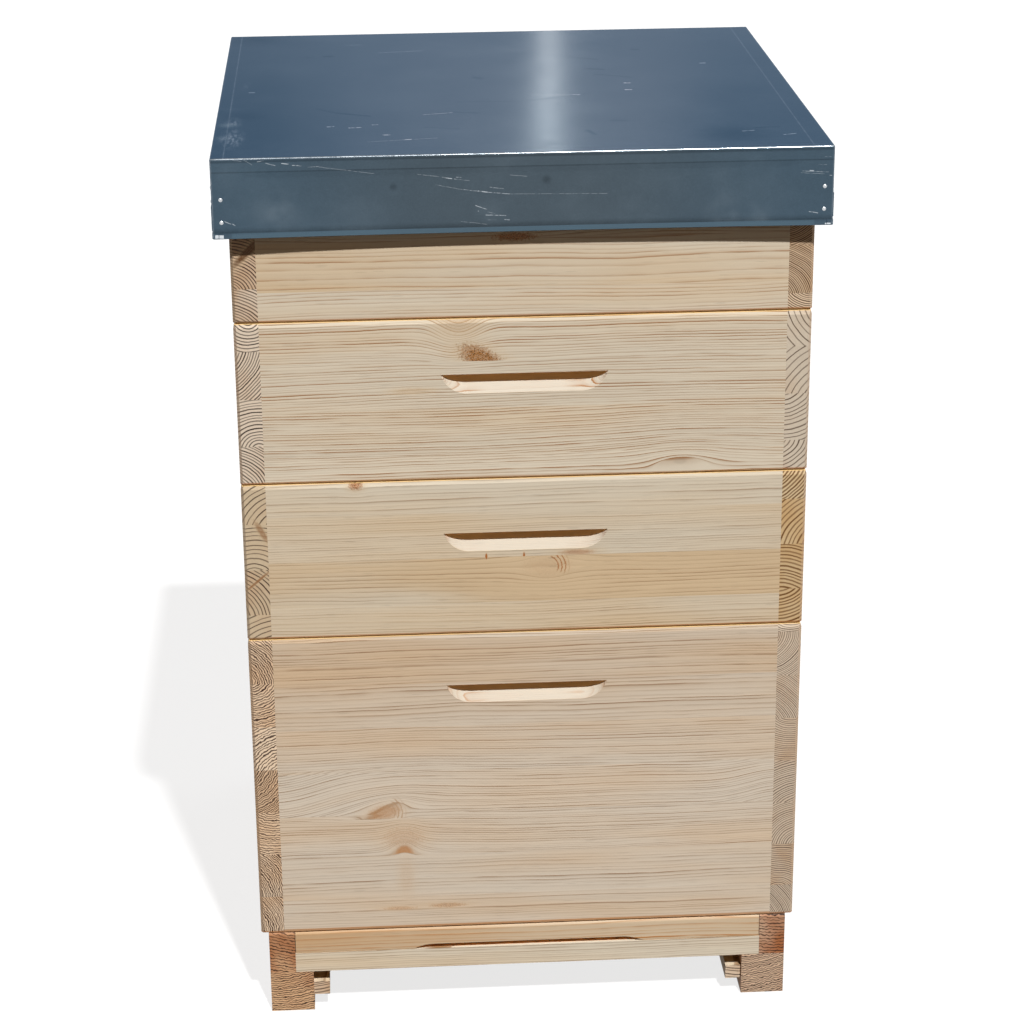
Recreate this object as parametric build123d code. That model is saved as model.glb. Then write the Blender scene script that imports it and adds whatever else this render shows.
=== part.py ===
import math
import os

from build123d import *

# Stacked boxes: outside size, board thickness and heights, in millimetres
box_width = 508
box_depth = 508
board = 22
brood_height = 304
super_height = 150
feeder_height = 110
bevel_height = 5.5
bevel_depth = 1.7
bottom_chamfer = 0.4
corner_chamfer = 2.5

# Bottom board: two stepped runners carry a floor frame, and the entrance is at the front
floor_height = 86
floor_width = 494
runner_width = 41
runner_upright = 24.5
runner_ledge = 42
floor_rail_height = 20
floor_rail_depth = 40
back_rail_thickness = 22
mesh_seat = 17
mesh_lap = 12
mesh_thickness = 1.2
mesh_play = 0.5
mesh_rows = 17
mesh_hole_share = 0.84
reducer_thickness = 22
reducer_play = 0.5
reducer_ease = 0.8
floor_round = 4
entrance_length = 221
entrance_height = 5
entrance_end = 20
tray_rail_width = 15
tray_rail_height = 14
tray_rail_top = 29
tray_rail_setback = 3
inspection_front = -225
inspection_thickness = 3
inspection_play = 1
handle_thickness = 12
handle_play = 0.5

# Finger scoops in the front and back boards
scoop_length = 148
scoop_height = 17.8
scoop_depth = 13
scoop_drop = 52.5
scoop_end = 23.5

# Frames hang from front to back on metal rests in the top rebates
frame_count = 12
frame_pitch = 38
frame_length = 448
frame_drop = 6
brood_frame_height = 286
super_frame_height = 141
top_bar_length = 482
top_bar_thickness = 20
lug_thickness = 10
bar_width = 25
spacer_width = 37.6
spacer_share = 0.3
spacer_taper = 10
side_bar_thickness = 10
bottom_bar_thickness = 10
foundation_thickness = 3
rebate_depth = 10
rebate_height = 18
rest_width = 9
rest_thickness = 2
rest_play = 0.5

# Feeder box: a floor with a long gap, and two chimney boards under a lift-off metal cap
feeder_floor_thickness = 10
chimney_gap = 40
chimney_bridge = 12
chimney_thickness = 12
chimney_height = 66
chimney_ear_length = 24
chimney_ear_height = 8
cap_thickness = 1
cap_side_gap = 10
cap_floor_gap = 6
cap_end_gap = 1

# Roof: folded sheet over a wooden rim, a top board and an insulating board
roof_width = 535
skirt_height = 70
sheet_thickness = 0.6
hem_height = 5
rim_thickness = 11
rim_setback = 3
end_rim_height = 26
roof_board_thickness = 18
insulation_thickness = 20
insulation_play = 0.5

# Fasteners: countersunk screws in the boards and flat-headed nails in the roof
screw_length = 50
screw_radius = 2
screw_head_radius = 4
screw_head_depth = 2.5
screw_tip = 5
recess_length = 4.2
recess_width = 0.9
recess_depth = 1.2
brood_screw_heights = [35, 110, 190, 265]
super_screw_heights = [32, 112]
feeder_screw_heights = [28, 82]
floor_screw_drop = 10
front_floor_screws = [12, 26]
back_floor_screw = 11
back_wall_screw_drop = 14
nail_length = 24
nail_radius = 1
nail_head_radius = 1.7
nail_head_height = 0.9
nail_head_rim = 0.3
front_nail_edge = 8
side_nail_edge = 6
front_nail_drops = [35.5, 55.5]
side_nail_drops = [26, 38]
hole_play = 0.05

# Places that follow from the sizes above
half_width = box_width / 2
half_depth = box_depth / 2
inner_x = half_width - board
inner_y = half_depth - board
runner_outer = floor_width / 2
runner_inner = runner_outer - runner_width
upright_inner = runner_outer - runner_upright
mesh_level = runner_ledge + mesh_seat
sill_level = runner_ledge + floor_rail_height
floor_rail_back = -half_depth + floor_rail_depth
tray_level = tray_rail_top + inspection_thickness
brood_level = floor_height
lower_level = brood_level + brood_height
upper_level = lower_level + super_height
feeder_level = upper_level + super_height
basin_level = feeder_level + feeder_floor_thickness
chimney_top = basin_level + chimney_height
cap_seat = chimney_top + chimney_ear_height
feeder_top = feeder_level + feeder_height
rim_top = feeder_top + insulation_thickness
roof_board_top = rim_top + roof_board_thickness
roof_top = roof_board_top + sheet_thickness
skirt_level = roof_top - skirt_height
sheet_outer = roof_width / 2 - sheet_thickness
roof_wood = sheet_outer - sheet_thickness
rim_inner = roof_wood - rim_thickness


def block(x0, x1, y0, y1, z0, z1):
    middle = Pos((x0 + x1) / 2, (y0 + y1) / 2, (z0 + z1) / 2)
    return middle * Box(x1 - x0, y1 - y0, z1 - z0)


def group(shapes):
    return Compound(children=[piece for shape in shapes for piece in shape.solids()])


def turned(outline):
    return revolve(make_face(outline), Axis.Z)


# Fasteners stand along Z, with the seat of the head at zero and the point below it
def screw(play=0.0):
    shank = screw_radius + play
    shank_end = screw_tip - screw_length
    points = [(0, 0, 0), (screw_head_radius + play, 0, 0), (shank, 0, -screw_head_depth)]
    points += [(shank, 0, shank_end), (0, 0, -screw_length - play)]
    return turned(Polyline(*points, close=True))


def recessed_screw():
    half = recess_length / 2
    slot = block(-half, half, -recess_width / 2, recess_width / 2, -recess_depth, 0)
    return screw() - slot - Rot(0, 0, 90) * slot


# The nail has a low domed head
def nail(play=0.0):
    shank = nail_radius + play
    crown = (0, 0, nail_head_height)
    rim = (nail_head_radius, 0, nail_head_rim)
    points = [rim, (nail_head_radius, 0, 0), (shank, 0, 0), (shank, 0, -nail_length)]
    points += [(0, 0, -nail_length - nail_radius), crown]
    return turned([TangentArc(crown, rim, tangent=(1, 0, 0)), Polyline(*points)])


def drilled(shape, drill, places):
    for place in places:
        shape -= place * drill
    return shape


def corner_screw_places(level, heights):
    places = []
    for side in (-1, 1):
        for end in (-1, 1):
            for height in heights:
                spot = Pos(side * half_width, end * (half_depth - board / 2), level + height)
                places.append(spot * Rot(0, side * 90, 0))
    return places


# Boat-shaped finger scoop: its floor rises inwards to a level ceiling
def front_scoop(storey_top):
    half = scoop_length / 2
    flat = half - scoop_end
    ceiling = storey_top - scoop_drop
    outline = [
        Line((-half, scoop_height), (half, scoop_height)),
        TangentArc((flat, 0), (half, scoop_height), tangent=(1, 0)),
        Line((-flat, 0), (flat, 0)),
        TangentArc((-flat, 0), (-half, scoop_height), tangent=(-1, 0)),
    ]
    face_plane = Plane((0, -half_depth, ceiling - scoop_height), x_dir=(1, 0, 0), z_dir=(0, -1, 0))
    slope = Vector(0, scoop_depth, scoop_height)
    prism = extrude(face_plane * make_face(outline), amount=slope.length, dir=slope.normalized())
    below = block(-half, half, -half_depth, inner_y, ceiling - scoop_height, ceiling)
    return prism & below


# A storey's outside: a steep bevel sheds water at the top, and the other edges are eased
def storey_outline(level, height):
    shoulder = level + height - bevel_height
    slope = math.degrees(math.atan2(bevel_depth, bevel_height))
    lower = block(-half_width, half_width, -half_depth, half_depth, level, shoulder)
    lower = chamfer(lower.faces().sort_by(Axis.Z)[0].edges(), bottom_chamfer)
    upper = Pos(0, 0, shoulder) * extrude(Rectangle(box_width, box_depth), amount=bevel_height, taper=slope)
    whole = block(-half_width, half_width, -half_depth, half_depth, level, level + height)
    return (lower + upper) & chamfer(whole.edges().filter_by(Axis.Z), corner_chamfer)


# Four boards of one storey: the sides run through, and the front and back sit between them
def storey_walls(level, height, screw_heights):
    top = level + height
    outline = storey_outline(level, height)
    places = corner_screw_places(level, screw_heights)
    drill = screw(hole_play)
    left = outline & block(-half_width, -inner_x, -half_depth, half_depth, level, top)
    front = outline & block(-inner_x, inner_x, -half_depth, -inner_y, level, top)
    left = drilled(left, drill, [place for place in places if place.position.X < 0])
    front = drilled(front, drill, [place for place in places if place.position.Y < 0])
    return {"left_wall": left, "front_wall": front}


def with_frame_rebate(front, top):
    return front - block(-inner_x, inner_x, -inner_y - rebate_depth, -inner_y, top - rebate_height, top)


def add_walls(parts, name, walls):
    parts[name + "_front_wall"] = walls["front_wall"]
    parts[name + "_back_wall"] = mirror(walls["front_wall"], about=Plane.XZ)
    parts[name + "_left_wall"] = walls["left_wall"]
    parts[name + "_right_wall"] = mirror(walls["left_wall"], about=Plane.YZ)


def add_screws(parts, name, places):
    fastener = recessed_screw()
    parts[name + "_screws"] = group([place * fastener for place in places])


def frame_rests(top):
    seat = top - rebate_height
    back = inner_y + rebate_depth - rest_play
    length = inner_x - rest_play
    strip = block(-length, length, -back, -back + rest_width, seat, seat + rest_thickness)
    return group([strip, mirror(strip, about=Plane.XZ)])


# One hanging frame, drawn at the middle of the box
def top_bar(top):
    half = bar_width / 2
    neck = frame_length / 2 - side_bar_thickness
    lugs = block(-half, half, -top_bar_length / 2, top_bar_length / 2, top - lug_thickness, top)
    return lugs + block(-half, half, -neck, neck, top - top_bar_thickness, top - lug_thickness)


def side_bars(top, bottom):
    wide = spacer_width / 2
    narrow = bar_width / 2
    shoulder = top - spacer_share * (top - bottom)
    waist = shoulder - spacer_taper
    right = [(narrow, bottom), (narrow, waist), (wide, shoulder), (wide, top)]
    left = [(-x, z) for x, z in reversed(right)]
    end_plane = Plane((0, -frame_length / 2, 0), x_dir=(1, 0, 0), z_dir=(0, -1, 0))
    outline = make_face(Polyline(*right, *left, close=True))
    bar = extrude(end_plane * outline, amount=-side_bar_thickness)
    return [bar, mirror(bar, about=Plane.XZ)]


def bottom_bar(bottom):
    half = bar_width / 2
    end = frame_length / 2
    return block(-half, half, -end, end, bottom, bottom + bottom_bar_thickness)


def foundation(top, bottom):
    half = foundation_thickness / 2
    end = frame_length / 2 - side_bar_thickness
    return block(-half, half, -end, end, bottom, top)


def add_frames(parts, name, storey_top, frame_height):
    top = storey_top - frame_drop
    bottom = top - frame_height
    sill = bottom + bottom_bar_thickness
    first = -frame_pitch * (frame_count - 1) / 2
    places = [Pos(first + frame_pitch * number, 0, 0) for number in range(frame_count)]
    pieces = {
        "top_bars": [top_bar(top)],
        "side_bars": side_bars(top - lug_thickness, sill),
        "bottom_bars": [bottom_bar(bottom)],
        "foundation": [foundation(top - top_bar_thickness, sill)],
    }
    for kind, shapes in pieces.items():
        parts[name + "_" + kind] = group([place * shape for place in places for shape in shapes])


def add_storey(parts, name, level, height, screw_heights, frame_height):
    top = level + height
    walls = storey_walls(level, height, screw_heights)
    walls["front_wall"] = with_frame_rebate(walls["front_wall"], top) - front_scoop(top)
    add_walls(parts, name, walls)
    parts[name + "_frame_rests"] = frame_rests(top)
    add_screws(parts, name, corner_screw_places(level, screw_heights))
    add_frames(parts, name, top, frame_height)


# Bottom board
def runner():
    foot = block(-runner_outer, -runner_inner, -half_depth, half_depth, 0, runner_ledge)
    upright = block(-runner_outer, -upright_inner, -half_depth, half_depth, runner_ledge, floor_height)
    shape = foot + upright
    ends = shape.faces().sort_by(Axis.Z)[-1].edges().filter_by(Axis.X)
    return fillet(ends, floor_round)


def floor_screw_places():
    low = sill_level - floor_screw_drop
    high = floor_height - back_wall_screw_drop
    back = half_depth - back_floor_screw
    spots = [(inset - half_depth, low) for inset in front_floor_screws] + [(back, low), (back, high)]
    places = []
    for side in (-1, 1):
        for y, z in spots:
            places.append(Pos(side * runner_outer, y, z) * Rot(0, side * 90, 0))
    return places


def floor_front_rail():
    rail = block(-upright_inner, upright_inner, -half_depth, floor_rail_back, runner_ledge, sill_level)
    lap_front = floor_rail_back - mesh_lap
    return rail - block(-upright_inner, upright_inner, lap_front, floor_rail_back, mesh_level, sill_level)


def floor_back_rail():
    wall_front = half_depth - back_rail_thickness
    seat = block(-upright_inner, upright_inner, -floor_rail_back, half_depth, runner_ledge, mesh_level)
    return seat + block(-upright_inner, upright_inner, wall_front, half_depth, mesh_level, floor_height)


def floor_side_rail():
    return block(-upright_inner, -runner_inner, floor_rail_back, -floor_rail_back, runner_ledge, mesh_level)


def floor_mesh():
    front = floor_rail_back - mesh_lap + mesh_play
    back = half_depth - back_rail_thickness - mesh_play
    width = 2 * (upright_inner - mesh_play)
    depth = back - front
    step_x = width / mesh_rows
    step_y = depth / mesh_rows
    gaps = GridLocations(step_x, step_y, mesh_rows, mesh_rows)
    net = Rectangle(width, depth) - gaps * Rectangle(step_x * mesh_hole_share, step_y * mesh_hole_share)
    return Pos(0, (front + back) / 2, mesh_level) * extrude(net, amount=mesh_thickness)


def tray_rail():
    inner = -runner_inner + tray_rail_width
    front = -half_depth + tray_rail_setback
    return block(-runner_inner, inner, front, half_depth, tray_rail_top - tray_rail_height, tray_rail_top)


def entrance_reducer():
    half = upright_inner - reducer_play
    back = -half_depth + reducer_thickness
    strip = block(-half, half, -half_depth, back, sill_level, floor_height - reducer_play)
    top_edge = strip.faces().sort_by(Axis.Z)[-1].edges().sort_by(Axis.Y)[0]
    strip = fillet(top_edge, floor_round)
    sill_edge = strip.faces().sort_by(Axis.Z)[0].edges().sort_by(Axis.Y)[0]
    strip = chamfer(sill_edge, reducer_ease)
    end = entrance_length / 2
    flat = end - entrance_end
    outline = [
        Line((-flat, entrance_height), (flat, entrance_height)),
        TangentArc((flat, entrance_height), (end, 0), tangent=(1, 0)),
        Line((-end, 0), (end, 0)),
        TangentArc((-flat, entrance_height), (-end, 0), tangent=(-1, 0)),
    ]
    face_plane = Plane((0, -half_depth, sill_level), x_dir=(1, 0, 0), z_dir=(0, -1, 0))
    return strip - extrude(face_plane * make_face(outline), amount=-reducer_thickness)


def inspection_board():
    half = runner_inner - inspection_play
    return block(-half, half, inspection_front, half_depth, tray_rail_top, tray_level)


def board_handle():
    half = runner_inner - inspection_play
    top = runner_ledge - handle_play
    return block(-half, half, half_depth - handle_thickness, half_depth, tray_level, top)


def add_floor(parts):
    places = floor_screw_places()
    drill = screw(hole_play)
    left_places = [place for place in places if place.position.X < 0]
    left_runner = drilled(runner(), drill, left_places)
    parts["runner_left"] = left_runner
    parts["runner_right"] = mirror(left_runner, about=Plane.YZ)
    parts["floor_front_rail"] = drilled(floor_front_rail(), drill, places)
    parts["floor_back_rail"] = drilled(floor_back_rail(), drill, places)
    parts["floor_side_rail_left"] = floor_side_rail()
    parts["floor_side_rail_right"] = mirror(floor_side_rail(), about=Plane.YZ)
    parts["floor_mesh"] = floor_mesh()
    parts["tray_rail_left"] = tray_rail()
    parts["tray_rail_right"] = mirror(tray_rail(), about=Plane.YZ)
    parts["entrance_reducer"] = entrance_reducer()
    parts["inspection_board"] = inspection_board()
    parts["board_handle"] = board_handle()
    add_screws(parts, "floor", places)


# Feeder box
def feeder_floor():
    gap_end = inner_x - chimney_bridge
    panel = block(-inner_x, inner_x, -inner_y, inner_y, feeder_level, basin_level)
    return panel - block(-gap_end, gap_end, -chimney_gap / 2, chimney_gap / 2, feeder_level, basin_level)


def chimney_board():
    back = -chimney_gap / 2
    front = back - chimney_thickness
    wall = block(-inner_x, inner_x, front, back, basin_level, chimney_top)
    ear = block(-inner_x, -inner_x + chimney_ear_length, front, back, chimney_top, cap_seat)
    return wall + ear + mirror(ear, about=Plane.YZ)


def feeder_cap():
    length = inner_x - cap_end_gap
    inside = chimney_gap / 2 + chimney_thickness + cap_side_gap
    outside = inside + cap_thickness
    bottom = basin_level + cap_floor_gap
    shell = block(-length, length, -outside, outside, bottom, cap_seat + cap_thickness)
    return shell - block(-length, length, -inside, inside, bottom, cap_seat)


def add_feeder(parts):
    add_walls(parts, "feeder", storey_walls(feeder_level, feeder_height, feeder_screw_heights))
    parts["feeder_floor"] = feeder_floor()
    parts["chimney_board_front"] = chimney_board()
    parts["chimney_board_back"] = mirror(chimney_board(), about=Plane.XZ)
    parts["feeder_cap"] = feeder_cap()
    add_screws(parts, "feeder", corner_screw_places(feeder_level, feeder_screw_heights))


# Roof
def roof_nail_places():
    places = []
    for side in (-1, 1):
        for end in (-1, 1):
            for drop in front_nail_drops:
                spot = Pos(side * (sheet_outer - front_nail_edge), end * sheet_outer, roof_top - drop)
                places.append(spot * Rot(-end * 90, 0, 0))
            for drop in side_nail_drops:
                spot = Pos(side * sheet_outer, end * (sheet_outer - side_nail_edge), roof_top - drop)
                places.append(spot * Rot(0, side * 90, 0))
    return places


def square_tray(outside, inside, bottom, inside_top, top):
    shell = block(-outside, outside, -outside, outside, bottom, top)
    return shell - block(-inside, inside, -inside, inside, bottom, inside_top)


def roof_sheet():
    hem_top = skirt_level + hem_height
    hem = square_tray(roof_width / 2, sheet_outer, skirt_level, hem_top, hem_top)
    return square_tray(sheet_outer, roof_wood, skirt_level, roof_board_top, roof_top) + hem


def add_roof(parts):
    places = roof_nail_places()
    drill = nail(hole_play)
    fastener = nail()
    side_bottom = skirt_level + rim_setback
    end_bottom = rim_top - end_rim_height
    board_half = rim_inner - insulation_play
    left = block(-roof_wood, -rim_inner, -roof_wood, roof_wood, side_bottom, rim_top)
    front = block(-rim_inner, rim_inner, -roof_wood, -rim_inner, end_bottom, rim_top)
    left = drilled(left, drill, [place for place in places if place.position.X < 0])
    front = drilled(front, drill, [place for place in places if place.position.Y < 0])
    parts["roof_rim_left"] = left
    parts["roof_rim_right"] = mirror(left, about=Plane.YZ)
    parts["roof_rim_front"] = front
    parts["roof_rim_back"] = mirror(front, about=Plane.XZ)
    parts["roof_insulation"] = block(-board_half, board_half, -board_half, board_half, feeder_top, rim_top)
    parts["roof_board"] = block(-roof_wood, roof_wood, -roof_wood, roof_wood, rim_top, roof_board_top)
    parts["roof_sheet"] = drilled(roof_sheet(), drill, places)
    parts["roof_nails"] = group([place * fastener for place in places])


def main():
    parts = {}
    add_floor(parts)
    add_storey(parts, "brood", brood_level, brood_height, brood_screw_heights, brood_frame_height)
    add_storey(parts, "lower_super", lower_level, super_height, super_screw_heights, super_frame_height)
    add_storey(parts, "upper_super", upper_level, super_height, super_screw_heights, super_frame_height)
    add_feeder(parts)
    add_roof(parts)
    os.makedirs("parts", exist_ok=True)
    for name, shape in parts.items():
        export_step(shape, "parts/" + name + ".step")
    print(len(parts), "nodes, height", roof_top, "mm")


main()
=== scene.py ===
import inspect
import math

import bmesh
import bpy
from mathutils import Matrix, Vector, noise


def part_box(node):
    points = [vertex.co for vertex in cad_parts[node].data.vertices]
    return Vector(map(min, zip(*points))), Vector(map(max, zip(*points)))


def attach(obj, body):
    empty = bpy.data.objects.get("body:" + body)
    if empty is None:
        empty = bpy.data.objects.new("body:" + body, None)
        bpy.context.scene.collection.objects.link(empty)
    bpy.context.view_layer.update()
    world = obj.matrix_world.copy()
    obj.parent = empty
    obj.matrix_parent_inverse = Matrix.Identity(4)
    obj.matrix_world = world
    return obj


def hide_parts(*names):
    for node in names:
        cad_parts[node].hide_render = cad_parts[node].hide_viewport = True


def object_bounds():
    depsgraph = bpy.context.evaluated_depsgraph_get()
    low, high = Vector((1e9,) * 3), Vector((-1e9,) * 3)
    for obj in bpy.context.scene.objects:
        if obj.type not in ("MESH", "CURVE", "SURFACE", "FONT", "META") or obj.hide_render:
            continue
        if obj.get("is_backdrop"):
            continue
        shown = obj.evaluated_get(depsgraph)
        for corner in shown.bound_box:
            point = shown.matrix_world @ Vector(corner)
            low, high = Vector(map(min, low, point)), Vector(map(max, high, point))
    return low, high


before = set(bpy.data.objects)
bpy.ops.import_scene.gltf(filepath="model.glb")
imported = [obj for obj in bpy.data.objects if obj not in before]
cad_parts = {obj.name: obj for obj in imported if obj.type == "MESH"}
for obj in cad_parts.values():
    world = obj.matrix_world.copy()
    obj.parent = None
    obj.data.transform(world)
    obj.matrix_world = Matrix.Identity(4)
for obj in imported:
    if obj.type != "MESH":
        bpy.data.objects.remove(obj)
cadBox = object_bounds()
scene = bpy.context.scene
print("frame loaded:", len(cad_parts), "nodes")


# a value in a node tree that can be reckoned with like a number
class Wire:
    def __init__(self, socket):
        self.socket = socket
        self.tree = socket.id_data

    def __add__(self, other):
        return calc("ADD", self, other)

    def __sub__(self, other):
        return calc("SUBTRACT", self, other)

    def __rsub__(self, other):
        return calc("SUBTRACT", other, self)

    def __mul__(self, other):
        return calc("MULTIPLY", self, other)

    def __truediv__(self, other):
        return calc("DIVIDE", self, other)

    def __pow__(self, other):
        return calc("POWER", self, other)

    def __gt__(self, other):
        return calc("GREATER_THAN", self, other)

    def __lt__(self, other):
        return calc("LESS_THAN", self, other)


# small helpers for building node trees
def srgb(red, green, blue):
    def linear(value):
        share = value / 255
        return share / 12.92 if share <= 0.04045 else ((share + 0.055) / 1.055) ** 2.4
    return linear(red), linear(green), linear(blue), 1.0


def plug(socket, value):
    if isinstance(value, Wire):
        value.tree.links.new(value.socket, socket)
    else:
        socket.default_value = value


def put(tree, kind, wires=None, **settings):
    node = tree.nodes.new("ShaderNode" + kind)
    for name, value in settings.items():
        setattr(node, name, value)
    for name, value in (wires or {}).items():
        plug(node.inputs[name], value)
    return node


def wired(kind, wires, **settings):  # the node goes into the tree that its wires come from
    tree = next(value.tree for value in wires.values() if isinstance(value, Wire))
    return put(tree, kind, wires, **settings)


def outlets(node):
    return {output.name: Wire(output) for output in node.outputs}


def calc(operation, *values):
    return Wire(wired("Math", dict(enumerate(values)), operation=operation).outputs[0])


def absolute(value):
    return calc("ABSOLUTE", value)


def signed(value):  # from 0 to 1 becomes from -1 to 1
    return calc("MULTIPLY_ADD", value, 2.0, -1.0)


def longSide(first, second):  # of the right-angled triangle on the two
    return calc("SQRT", first * first + second * second)


def largest(first, *others):
    for other in others:
        reckoned = isinstance(first, Wire) or isinstance(other, Wire)
        first = calc("MAXIMUM", first, other) if reckoned else max(first, other)
    return first


def fade(value, start, end, low=0.0, high=1.0, course="SMOOTHSTEP"):
    wires = {"Value": value, "From Min": start, "From Max": end, "To Min": low, "To Max": high}
    return Wire(wired("MapRange", wires, interpolation_type=course).outputs[0])


def spread(value, low, high):
    return fade(value, 0.0, 1.0, low, high, "LINEAR")


def mixColour(share, first, second):
    return Wire(wired("Mix", {0: share, 6: first, 7: second}, data_type="RGBA").outputs[2])


def choose(mask, first, second):
    return Wire(wired("Mix", {0: mask, 2: first, 3: second}, data_type="FLOAT").outputs[0])


def scaled(colour, amount):
    return Wire(wired("VectorMath", {0: colour, "Scale": amount}, operation="SCALE").outputs[0])


def joined(x=0.0, y=0.0, z=0.0):
    return Wire(wired("CombineXYZ", {"X": x, "Y": y, "Z": z}).outputs[0])


def axes(vector):
    return list(outlets(wired("SeparateXYZ", {"Vector": vector})).values())


def split(colour):
    return list(outlets(wired("SeparateColor", {"Color": colour})).values())


def cloud(vector, scale=1.0, detail=2.0, roughness=0.5):
    wires = {"Vector": vector, "Scale": scale, "Detail": detail, "Roughness": roughness}
    return Wire(wired("TexNoise", wires, noise_dimensions="3D").outputs[0])


def wander(place, scale=1.0, detail=1.0):
    wires = {"W": place, "Scale": scale, "Detail": detail}
    return Wire(wired("TexNoise", wires, noise_dimensions="1D").outputs[0])


def dice(number):
    return outlets(wired("TexWhiteNoise", {"W": number}, noise_dimensions="1D"))


def cells(vector, scale=1.0, dimensions="3D"):
    return outlets(wired("TexVoronoi", {"Vector": vector, "Scale": scale}, voronoi_dimensions=dimensions))


def ramp(share, stops, course="LINEAR"):
    node = wired("ValToRGB", {"Fac": share})
    band = node.color_ramp
    band.interpolation = course
    band.elements.remove(band.elements[1])
    for index, (place, colour) in enumerate(stops):
        stop = band.elements[0] if index == 0 else band.elements.new(place)
        stop.color = colour
    return outlets(node)


# a group's inputs are its builder's parameters, and its outputs are what the builder returns
def newGroup(name, build):
    tree = bpy.data.node_groups.new(name, "ShaderNodeTree")

    def addSockets(titles, way):
        for title in titles:
            kind = "Vector" if title == "position" else "Float"
            kind = "Color" if title.lower().endswith("colour") else kind
            tree.interface.new_socket(title, in_out=way, socket_type="NodeSocket" + kind)

    given = inspect.signature(build).parameters
    addSockets(given, "INPUT")
    sources = outlets(tree.nodes.new("NodeGroupInput"))
    made = build(*(sources[title] for title in given))
    addSockets(made, "OUTPUT")
    last = tree.nodes.new("NodeGroupOutput")
    for title, value in made.items():
        plug(last.inputs[title], value)
    return tree


def useGroup(group, **wires):
    return outlets(wired("Group", wires, node_tree=group))


def picked(look, keys, ending=""):
    return {key + ending: look[key] for key in keys}


def newMaterial(name):
    material = bpy.data.materials.new(name)
    material.use_nodes = True
    return material


def newSurface(name):
    material = newMaterial(name)
    place = outlets(put(material.node_tree, "TexCoord"))
    return material, place["Object"], place["Normal"]


# bump is (height, strength, distance), and plain holds the shader's fixed values
def finishSurface(material, colour, roughness, bump=None, plain=None):
    sockets = material.node_tree.nodes["Principled BSDF"].inputs
    plug(sockets["Base Color"], colour)
    plug(sockets["Roughness"], roughness)
    if bump:
        raised = wired("Bump", dict(zip(("Height", "Strength", "Distance"), bump)))
        plug(sockets["Normal"], Wire(raised.outputs[0]))
    for name, value in (plain or {}).items():
        sockets[name].default_value = value
    return material


def dress(node, material):
    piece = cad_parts[node] if isinstance(node, str) else node
    piece.data.materials.clear()
    piece.data.materials.append(material)


# a closed skin over a row of loops, with the first and last filled in
def coverLoops(mesh, loops):
    count = len(loops[0])
    for first, second in zip(loops, loops[1:]):
        for index in range(count):
            after = (index + 1) % count
            mesh.faces.new((first[index], first[after], second[after], second[index]))
    mesh.faces.new(loops[-1])
    mesh.faces.new(loops[0][::-1])


def newPiece(name, mesh):
    bmesh.ops.recalc_face_normals(mesh, faces=mesh.faces)
    data = bpy.data.meshes.new(name)
    mesh.to_mesh(data)
    mesh.free()
    piece = bpy.data.objects.new(name, data)
    scene.collection.objects.link(piece)
    return piece


# places in the wood, drawn out along the grain
def drawnOut(along, through, height, phase):
    def place(lengthways, across):
        return joined(along * lengthways + phase, through * across, height * across)
    return place


# shared effect: late-wood lines of one stave, as rings about a pith that lies off to one side
ringProfile = ((0, 0.5), (0.06, 0.0), (0.45, 0.08), (0.74, 0.34), (0.88, 1.0), (1, 0.8))  # place, darkness


def growthRings(along, through, height, stave, middle, ringWidth, uneven, pithThrough, pithNear, pithFar,
                sway, ripple, rippleSize, jitter, endLine):
    chance = dice(stave * 17.31)
    red, green, blue = split(chance["Color"])
    phase = stave * 13.7
    place = drawnOut(along, through, height, phase)

    def drift(start):
        return signed(wander(start, 2.3)) * sway

    def wobble(lengthways, across, size):
        return signed(cloud(place(lengthways, across), detail=1.0)) * size

    pithHeight = (green * pithFar + pithNear) * signed(blue > 0.5) + middle
    fromPith = through - signed(red) * pithThrough + drift(along + phase)
    abovePith = height - pithHeight + drift(along - phase)
    radius = longSide(fromPith, abovePith) + wobble(7.0, 20.0, 0.0022)
    radius = radius + wobble(30.0, rippleSize, ripple)
    width = ringWidth * (signed(chance["Value"]) * uneven + 1.0)
    count = radius / width
    count = count + wander(count * 0.31 + phase) * jitter

    def strength(ring, least):
        return spread(dice(ring + phase)["Value"], least, 1.0)

    ring = calc("FLOOR", count)
    profile = ramp(count - ring, [(place, (level, level, level, 1)) for place, level in ringProfile])
    broken = cloud(joined(along * 12.0, ring * 3.7, phase), roughness=0.7)
    late = profile["Color"] * strength(ring, 0.25) * fade(broken, 0.3, 0.6, 0.25, 1.0)
    border = calc("FLOOR", count + 0.5)
    fromBorder = absolute(count - border) * width
    endLate = fade(fromBorder / endLine, 1.5, 0.5) * strength(border, 0.65)
    return {"late": late, "endLate": endLate, "chance": green}


# shared effect: fine fibre streaks and broad soft shading that follow the grain
def fibreStreaks(along, through, height, stave):
    place = drawnOut(along, through, height, stave * 5.9)
    dashes = cells(place(60.0, 900.0))
    lucky = split(dashes["Color"])[0] > 0.9
    return {"fibre": cloud(place(9.0, 420.0), detail=3.0, roughness=0.6), "broad": cloud(place(3.0, 26.0)),
            "fleck": fade(dashes["Distance"], 0.5, 0.2) * lucky}


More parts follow.
